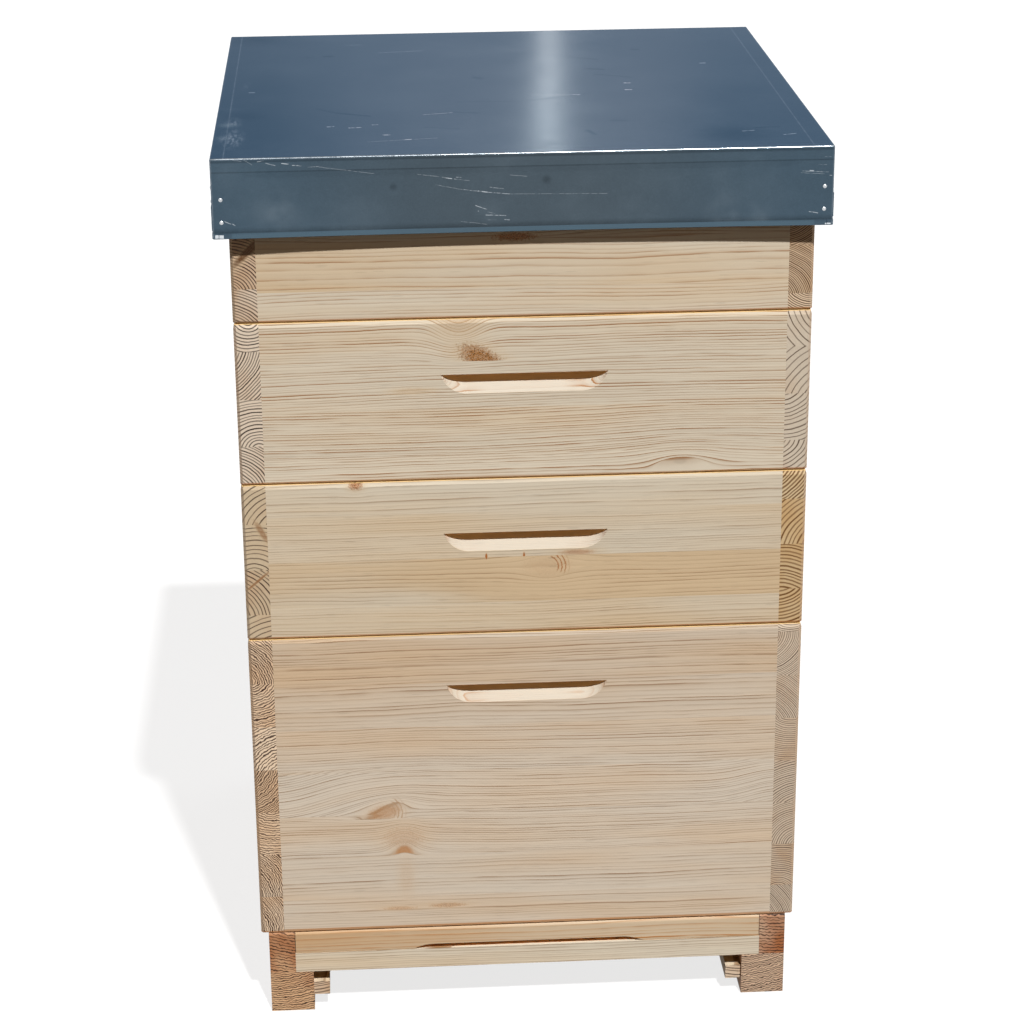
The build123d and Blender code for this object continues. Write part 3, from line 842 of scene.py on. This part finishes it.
# roof sheet, in millimetres: scratches and dark smears as (from x, from height, to x, to height, width,
# strength) on the front skirt and with y for height on the top; patches, scuffs and smudges as (x, height
# or y, radius, strength, lengthening in y); bare spots on the hem as (from x, to x, from height, to height)
roofLook = {
    # the top's base colour is lighter than the skirts', a painted difference that sets its reflection; the
    # hem colour is a painted sheen
    "base": (0.0695, 0.095, 0.1165, 1), "endBase": (0.06, 0.095, 0.128, 1), "topBase": (0.13, 0.15, 0.17, 1),
    "pale": (0.16, 0.205, 0.245, 1), "bare": (0.62, 0.66, 0.7, 1), "hem": (0.08, 0.13, 0.17, 1),
    "edgeTint": (0.334, 0.417, 0.53, 1), "rough": (0.15, 0.19), "grain": 500.0,
    "frontScratches": [
        (-247, 837.3, -240, 836.2, 0.28, 0.28), (-238, 837.4, -231, 833, 0.28, 0.28),
        (-226.5, 835.6, -221, 836.3, 0.36, 0.49), (-219.5, 834.2, -211.5, 831.8, 0.36, 0.49),
        (-206, 833.7, -200.5, 833, 0.48, 0.7), (-197, 831.9, -189.5, 831.2, 0.4, 0.56),
        (-184, 829.8, -175, 830.3, 0.36, 0.49), (-175, 829.9, -128, 823, 0.24, 0.35),
        (-91, 821.6, -73, 819.1, 0.24, 0.42), (-70, 818.5, -62, 817, 0.48, 0.7),
        (-60, 816.7, -53, 815.9, 0.32, 0.49), (-58, 818.3, -54, 818.2, 0.32, 0.49),
        (-53, 815.7, -47, 815.1, 0.28, 0.28), (-76, 812.2, -56, 807.9, 0.24, 0.35),
        (-56, 807.9, -40, 805.7, 0.32, 0.49), (-39.5, 805.7, -32, 804.5, 0.52, 0.7),
        (-32, 804.5, -13, 802.7, 0.36, 0.52), (-13, 802.7, 71, 801, 0.24, 0.28),
        (-29.5, 808.9, -18, 807.3, 0.32, 0.42), (-12, 819.2, 2, 817.7, 0.28, 0.32),
        (-42, 793.1, -32.5, 789.5, 0.4, 0.63), (-40, 788.1, -39.5, 788, 0.48, 0.56),
        (-31.5, 787, -25.5, 785.5, 0.28, 0.35), (-33.5, 784.3, -16, 783.5, 0.4, 0.63),
        (-31.5, 779.8, -24.5, 779.6, 0.28, 0.28), (-17, 779.9, -13, 779.4, 0.4, 0.56),
        (-54.5, 779, -32.5, 775.8, 0.28, 0.28), (239, 816.9, 261.5, 815.5, 0.28, 0.49),
        (245.5, 817.2, 249, 817.1, 0.48, 0.7), (238, 815.4, 258, 814, 0.24, 0.35),
        (262.5, 812.7, 264.5, 812.5, 0.4, 0.56), (252.5, 822.3, 260, 822.1, 0.24, 0.28),
        (258.5, 829.1, 263.5, 829, 0.24, 0.28), (-256, 784.1, -251, 781.8, 0.4, 0.63),
        (-249.5, 781.8, -247.5, 780.3, 0.4, 0.63), (246, 780.9, 253.5, 779.6, 0.4, 0.63)],
    "topScratches": [
        (-81, -114, -55, -108, 0.8, 0.7), (-132, -215, -72, -206, 0.6, 0.5),
        (-117, 169, -71, 175, 0.9, 0.5), (-149, 210, -134, 211, 0.8, 0.5),
        (-167, -154, -162, -153, 1.4, 1.0), (-148, -160, -138, -159, 1.4, 1.0),
        (-118, -190, -113, -190, 1.7, 1.0), (-101, -210, -95, -209, 1.6, 1.0),
        (-127, -150, -123, -150, 1.4, 0.9), (-240, -6, -236, -6, 1.6, 0.8), (113, 4, 118, 4, 1.8, 1.0),
        (111, -26, 116, -26, 1.7, 1.0), (196, 88, 200, 88, 1.8, 1.0), (230, -222, 240, -219, 1.4, 0.8),
        (60, -43, 66, -43, 1.3, 0.8), (20, -40, 66, -44, 0.5, 0.4), (196, -205, 206, -203, 1.2, 0.8)],
    "topSmears": [
        (-176, -82, -158, -100, 3, 0.6), (-158, -100, -130, -115, 3, 0.9), (-170, 156, -164, 157, 4, 1.2),
        (-190, 154, -185, 152, 3, 0.8), (-52, -106, -32, -112, 3, 0.6), (-27, 43, -22, 38, 5, 0.7),
        (19, 154, 48, 141, 2, 0.7), (48, 141, 97, 116, 2, 0.9), (84, 72, 98, 68, 3, 1.0),
        (89, 46, 123, 29, 2, 0.8), (137, 162, 142, 161, 4, 1.0), (-48, -64, 14, -67, 2, 0.5),
        (14, -67, 75, -38, 2, 0.7), (61, -189, 66, -205, 4, 0.7), (87, -152, 98, -153, 4, 0.5),
        (209, -192, 229, -192, 3, 0.8), (-81, -164, -52, -172, 3, 0.4)],
    "topSmudges": [(-245, 242, 40, 0.9), (-241, -108, 30, 0.6), (187, -217, 45, 0.8)],
    "frontPatches": [(-210, 790, 26, 0.4), (173, 781, 24, 0.35), (201, 775, 20, 0.3), (-30, 786, 20, 0.2)],
    "topPatches": [(-253, -190, 18, 1.0), (-255, -140, 15, 1.0), (-254, -70, 18, 0.4), (220, -200, 30, 0.25)],
    "topScuffs": [(-250, -195, 15, 0.5, 3.5), (-251, -130, 10, 0.3, 3.0), (-244, 20, 10, 0.12, 3.0)],
    "smudges": [(-112, 811, 5), (19, 814.5, 6), (-91, 772.3, 2)],
    "bareSpots": [(-264.8, -257.5, 769.3, 772.2), (260, 265, 769.4, 770.6)],
    # fold lines: x of the top's folds, drawn as pale painted highlight lines, and their strength
    "foldLines": (-255.3, 249.5), "foldStrength": 0.35,
}


def roofMetal():
    material, position, normal = newSurface("roof sheet")
    (x, y, z), facing = axes(position), axes(normal)
    low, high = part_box("roof_sheet")
    hemTop = low.z + roofFold["hem"]
    onTop, onFront = facing[2] > 0.7, facing[1] < -0.7
    onSide, onEnd = absolute(facing[0]) > 0.7, absolute(facing[1]) > 0.7
    across = choose(onSide, x, y)
    up = choose(onTop, z, y)
    reach = absolute(across)
    wear = useGroup(wearGroup, position=position, u=across, v=up, grain=roofLook["grain"])
    flecks = cloud(position, 120.0, 4.0, 0.7)
    blots = cloud(position, 45.0)
    rubs = cloud(joined(x, y * 0.25), 260.0, 3.0, 0.7)
    spangle = cloud(position, 800.0, 2.0, 0.7)
    gaps = fade(cloud(position, 320.0), 0.36, 0.54, 0.25, 1.0)
    crooked = up + signed(flecks) * 0.0006

    def scratch(x0, y0, x1, y1, width, strength):
        return useGroup(scratchGroup, u=across, v=crooked, fromU=x0 / 1000, fromV=y0 / 1000, toU=x1 / 1000,
                        toV=y1 / 1000, width=width / 1000, strength=strength)["mark"]

    def patch(x, y, radius, strength=1.0, long=1.0):
        spots = {0: joined(across, up / long), 1: (x / 1000, y / 1000 / long, 0)}
        away = outlets(wired("VectorMath", spots, operation="DISTANCE"))["Value"]
        return fade(away, radius / 1000, 0.0, 0.0, strength)

    def band(value, middle, width):
        return fade(absolute(value - middle), width, 0.3 * width)

    def window(x0, x1, z0, z1):
        wide = absolute(across - (x0 + x1) / 2000) < (x1 - x0) / 2000
        return wide * (absolute(crooked - (z0 + z1) / 2000) < (z1 - z0) / 2000)

    def drawn(mask, mark, key):
        return largest(*(mark(*entry) for entry in roofLook[key])) * mask

    scratched = largest(drawn(onFront, scratch, "frontScratches"), drawn(onTop, scratch, "topScratches"))
    scuffs = drawn(onTop, patch, "topScuffs") * fade(rubs, 0.4, 0.7)
    scratched = largest(scratched * gaps, scuffs, drawn(onFront, window, "bareSpots"))
    scuffed = largest(drawn(onFront, patch, "frontPatches"), drawn(onTop, patch, "topPatches"))
    scuffed = scuffed * fade(blots, 0.3, 0.7) + fade(wear["cloud"], 0.5, 0.8, 0.0, 0.15)
    scuffed = scuffed + wear["stroke"] * 0.08
    # painted highlights: pale lines along the top's folds, the top bends of front and back and the skirt
    # corners
    lines = largest(*(band(x, place / 1000, 0.0009) for place in roofLook["foldLines"]))
    lines = lines * onTop * roofLook["foldStrength"]
    bendLine = fade(z, high.z - 0.0013, high.z - 0.0005) * (absolute(y) > high.y - 0.0018)
    cornerLine = onEnd * fade(reach, *roofFold["cornerHighlight"], 0.0, 0.35)
    rubbed = largest(bendLine * 0.8, cornerLine, lines) * fade(flecks, 0.3, 0.7, 0.2, 0.7)
    # painted shade: darker bands above the hem, along the crease and under the top bend of the front and back
    # skirts; with the drawn dirt smudges and smears
    aboveHem = fade(z, hemTop + 0.006, hemTop + 0.0004) * (z > hemTop)
    crease = band(z, high.z - roofFold["creaseDrop"], 0.0009)
    grime = largest(crease, aboveHem, band(z, high.z - 0.0028, 0.0014)) * onEnd
    grime = largest(grime, drawn(onFront, patch, "smudges"), drawn(onTop, scratch, "topSmears"),
                    drawn(onTop, patch, "topSmudges"))
    shade = spread(wear["cloud"], 0.84, 1.12) + spread(flecks, -0.06, 0.06) + spread(spangle, -0.16, 0.16)
    # painted shade: the top darker towards its left end
    dull = choose(onTop, 1.0, fade(x, low.x, low.x + 0.15, 0.7, 1.0))
    base = mixColour(fade(reach, 0.04, 0.25), roofLook["base"], roofLook["endBase"])
    base = mixColour(onTop, base, roofLook["topBase"])
    colour = mixColour(scuffed, scaled(base, (shade - grime * 0.3) * dull), roofLook["pale"])
    # painted sheen: the hem paler and bluer, fading out near its ends
    onHem = fade(z, hemTop + 0.0002, hemTop - 0.0006) * fade(reach, *roofFold["hemStop"])
    colour = mixColour(onHem * spread(wear["cloud"], 0.6, 1.0), colour, roofLook["hem"])
    colour = mixColour(largest(scratched, rubbed), colour, roofLook["bare"])
    roughness = spread(wear["cloud"], *roofLook["rough"]) + scuffed * 0.2
    return finishSurface(material, colour, roughness,
                         plain={"Metallic": 1.0, "Specular Tint": roofLook["edgeTint"]})


# the sheet's cross-section from the inside of the top, down, round the hem and up again: kind, inset, height
def roofRings(bottom, top):
    fold, thick = roofFold, roofFold["thickness"]
    hemTop, crease = bottom + fold["hem"], top - fold["creaseDrop"]
    tabBottom, tabTop = hemTop + 0.002, fold["tabTop"]
    levels = [hemTop + 0.0012, tabBottom, tabBottom + 0.0003, *fold["rowsBeside"], tabTop - 0.0003, tabTop,
              *fold["rowsAbove"], crease - fold["creaseWidth"]]
    rings = [("skin", 2 * thick + 0.0008, top - thick)]
    rings += [("skin", 2 * thick, z) for z in [top - 0.003] + levels[::-1] + [bottom + 0.0006]]
    rings += [("hem", inset * thick, bottom + rise) for inset, rise in (
        (1.7, 0.0002), (1.0, 0.0), (0.3, 0.0002), (0.0, 0.0006))]
    rings += [("hem", 0.0, hemTop - 0.0004), ("hem", 0.3 * thick, hemTop)]
    rings += [("skin", thick, z) for z in levels]
    rings += [("crease", thick, crease), ("skin", thick, crease + fold["creaseWidth"]),
              ("skin", thick, top - 0.005)]
    for step in range(7):
        angle = math.pi / 2 * step / 6
        rings.append(("skin", thick + fold["bend"] * (1 - math.cos(angle)),
                      top - fold["bend"] * (1 - math.sin(angle))))
    return rings + [("top", inset, top) for inset in fold["topInsets"]], tabBottom


def roofSheet(material):
    low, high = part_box("roof_sheet")
    fold, bottom, top, full = roofFold, low.z, high.z, high.x
    thick, columns = fold["thickness"], fold["columns"]
    rings, tabBottom = roofRings(bottom, top)
    tabShare = 1 - fold["tab"] / full
    shares = sorted([2 * (step + 0.5) / columns - 1 for step in range(columns)]
                    + [sign * (tabShare + gap) for sign in (-1, 1) for gap in (0, 0.0012)]
                    + [sign * edge for sign in (-1, 1) for edge in fold["hemEnds"]])
    quarterTurns = [Matrix.Rotation(side * math.pi / 2, 3, "Z") for side in range(4)]

    def ripple(x, y, z):
        return noise.noise(Vector((x, y, z))) * 0.5 + 0.5

    def pushedIn(kind, inset, z, side, share, place):
        push = 0.0
        onEnd = side % 2 == 0
        if kind == "hem" and abs(share) > 0.986:
            push = max(thick - inset, 0.0)
        if kind == "crease" and onEnd and abs(share) < tabShare:
            push = fold["creaseDepth"]
        if onEnd:
            sag = max(0.0, (fold["bowFrom"] - z) / (fold["bowFrom"] - bottom)) ** 1.4
            push += fold["bow"] * sag * (1 - abs(share) ** 2.3)
        elif kind == "skin" and inset < 1.8 * thick and tabBottom < z < fold["tabTop"]:
            push -= thick if abs(share) > tabShare else 0.0
        if kind != "top":
            quiet = max(0.0, 1 - abs(share) ** 6) * min(1.0, max(0.0, (top - 0.004 - z) / 0.02))
            push += fold["wave"] * quiet * ripple(place * 11, z * 20, side * 7.3)
        return push

    mesh = bmesh.new()
    loops = []
    for kind, inset, z in rings:
        loop = []
        reach = full - inset
        radius = max(fold["corner"] + thick - inset, 0.0003)
        straight = reach - radius
        for side, turn in enumerate(quarterTurns):
            for share in shares:
                place = share * straight
                spot = Vector((place, pushedIn(kind, inset, z, side, share, place) - reach, z))
                loop.append(spot if side == 0 else turn @ spot)
            for step in range(1, 4):
                angle = math.pi / 2 * step / 4
                corner = (straight + radius * math.sin(angle), -straight - radius * math.cos(angle), z)
                loop.append(turn @ Vector(corner))
        if kind == "top":
            for spot in loop:
                spot.z -= fold["wave"] * 1.6 * min(1.0, inset / 0.06) * ripple(spot.x * 7, spot.y * 7, 3.1)
        loops.append([mesh.verts.new(spot) for spot in loop])
    coverLoops(mesh, loops)
    sheet = newPiece("folded_roof_sheet", mesh)
    sheet.data.shade_smooth()
    sheet.data.set_sharp_from_angle(angle=fold["sharpAngle"])
    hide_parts("roof_sheet")
    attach(sheet, "roof")
    dress(sheet, material)
    print("roof sheet folded:", len(sheet.data.polygons), "faces")


roofPaint = roofMetal()
dress("roof_sheet", roofPaint)
roofSheet(roofPaint)

# floor mesh: fine straight wires crossing at right angles
wireLook = {"pitch": 0.0034, "radius": 0.0003, "sides": 6}


def floorMesh(material):
    low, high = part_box("floor_mesh")
    radius, sides = wireLook["radius"], wireLook["sides"]
    mesh = bmesh.new()

    def drawWire(start, end, across):
        loops = []
        for spot in (start, end):
            loop = []
            for step in range(sides):
                angle = 2 * math.pi * step / sides
                offset = Vector((0, 0, math.sin(angle) * radius))
                offset[across] = math.cos(angle) * radius
                loop.append(mesh.verts.new(spot + offset))
            loops.append(loop)
        coverLoops(mesh, loops)

    for along, across, lift in ((0, 1, radius), (1, 0, -radius)):
        room = high[across] - low[across] - 2 * radius
        total = int(room / wireLook["pitch"])
        for step in range(total + 1):
            start = Vector((low.x, low.y, (low.z + high.z) / 2 + lift))
            start[across] = low[across] + radius + room * step / total
            end = start.copy()
            end[along] = high[along]
            drawWire(start, end, across)
    wires = newPiece("floor_wires", mesh)
    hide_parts("floor_mesh")
    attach(wires, "floor")
    dress(wires, material)
    print("floor mesh drawn:", len(wires.data.polygons), "faces")


dress("floor_mesh", zinc)
floorMesh(zinc)

# stage: pale floor, sun-like key from the front right, soft light from behind and a white surround
stage = {
    "keyElevation": math.radians(55), "keyAzimuth": math.radians(15), "keyStrength": 4.75,
    "keySpread": math.radians(2.0), "fillColour": (0.085, 0.066, 0.05, 1),
    "bounceColour": (0.1, 0.078, 0.06, 1), "floorColour": (0.9, 0.9, 0.9, 1), "white": (1, 1, 1, 1),
    "floorSize": 16.0, "floorGlow": 0.78,
    "strip": {"place": (0.262, 3.0, 1.92), "width": 0.04, "height": 1.1, "power": 1.25,
              "colour": (1.0, 0.66, 0.45)},
    "glow": {"place": (0.262, 3.0, 2.06), "height": 1.2, "power": 0.93, "colour": (1.0, 0.57, 0.38),
             "shifts": (-0.1, -0.057, -0.02, 0.01, 0.01), "widths": (0.9, 0.74, 0.58, 0.41, 0.2)},
    "softSuns": {"back": {"toward": (-0.6, 0.7, 0.5), "strength": 1.5},
                 "right": {"toward": (0.85, 0.45, 0.3), "strength": 1.2}},
    "softSpread": math.radians(50), "sunDistance": 4, "panelTarget": (0, 0, 0.84),
}


def seenDirectly(tree):
    path = outlets(put(tree, "LightPath"))
    return largest(path["Is Camera Ray"], path["Is Glossy Ray"], path["Is Transmission Ray"])


def buildWorld():
    world = bpy.data.worlds.new("white surround")
    scene.world = world
    world.use_nodes = True
    background = world.node_tree.nodes["Background"].inputs
    background["Strength"].default_value = 1.0
    seen = seenDirectly(world.node_tree)
    plug(background["Color"], mixColour(seen, stage["fillColour"], stage["white"]))


def buildFloor():
    half = stage["floorSize"] / 2
    mesh = bpy.data.meshes.new("floor")
    corners = [(-half, -half, 0), (half, -half, 0), (half, half, 0), (-half, half, 0)]
    mesh.from_pydata(corners, [], [(0, 1, 2, 3)])
    floor = bpy.data.objects.new("floor", mesh)
    scene.collection.objects.link(floor)
    floor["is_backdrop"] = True
    material = newMaterial("pale floor")
    tree = material.node_tree
    seen = seenDirectly(tree)
    finishSurface(material, mixColour(seen, stage["bounceColour"], stage["floorColour"]), 1.0,
                  plain={"Specular IOR Level": 0.0})
    lit = tree.nodes["Principled BSDF"]
    glow = put(tree, "Emission", {"Color": stage["white"], "Strength": 1.0})
    mixed = put(tree, "MixShader", {
        0: seen * stage["floorGlow"], 1: Wire(lit.outputs[0]), 2: Wire(glow.outputs[0])})
    plug(tree.nodes["Material Output"].inputs["Surface"], Wire(mixed.outputs[0]))
    floor.data.materials.append(material)


def addLight(name, kind, place, target, **settings):
    data = bpy.data.lights.new(name, kind)
    for key, value in settings.items():
        setattr(data, key, value)
    light = bpy.data.objects.new(name, data)
    scene.collection.objects.link(light)
    light.location = place
    light.rotation_mode = "QUATERNION"
    light.rotation_quaternion = (Vector(target) - Vector(place)).to_track_quat("-Z", "Y")
    light.visible_camera = False
    return light


def addSun(name, toward, strength, angle):
    place = Vector(toward) * stage["sunDistance"]
    return addLight(name, "SUN", place, (0, 0, 0), energy=strength, angle=angle)


def addPanel(name, place, width, height, power, colour):
    addLight(name, "AREA", place, stage["panelTarget"], energy=power, shape="RECTANGLE", size=width,
             size_y=height, color=colour)


def buildLights():
    elevation, azimuth = stage["keyElevation"], stage["keyAzimuth"]
    level = math.cos(elevation)
    toKey = (math.sin(azimuth) * level, -math.cos(azimuth) * level, math.sin(elevation))
    addSun("key", toKey, stage["keyStrength"], stage["keySpread"])
    addPanel("strip", **stage["strip"])
    glow = stage["glow"]
    for number, (shift, width) in enumerate(zip(glow["shifts"], glow["widths"])):  # brighter to the middle
        place = Vector(glow["place"]) + Vector((shift, 0, 0))
        addPanel("glow_" + str(number), place, width, glow["height"], glow["power"] * width, glow["colour"])
    for name, sun in stage["softSuns"].items():
        light = addSun(name, sun["toward"], sun["strength"], stage["softSpread"])
        light.visible_glossy = False


# camera, from the photograph's vanishing points
camera = {"place": (-0.14566, -2.51536, 1.37818), "yaw": 0.05893, "pitch": 0.36737, "roll": 0.0084,
          "lens": 94.98, "sensor": 36}


def buildCamera():
    turn = Matrix.Rotation(-camera["yaw"], 4, "Z")
    turn = turn @ Matrix.Rotation(math.pi / 2 - camera["pitch"], 4, "X")
    turn = turn @ Matrix.Rotation(-camera["roll"], 4, "Z")
    data = bpy.data.cameras.new("camera")
    data.lens = camera["lens"]
    data.sensor_width = camera["sensor"]
    view = bpy.data.objects.new("camera", data)
    view.matrix_world = Matrix.Translation(camera["place"]) @ turn
    scene.collection.objects.link(view)
    scene.camera = view


buildWorld()
buildFloor()
buildLights()
buildCamera()
scene.view_settings.view_transform = "Standard"
print("stage set")

sizes = {"cad": [list(corner) for corner in cadBox], "visual": [list(corner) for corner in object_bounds()]}
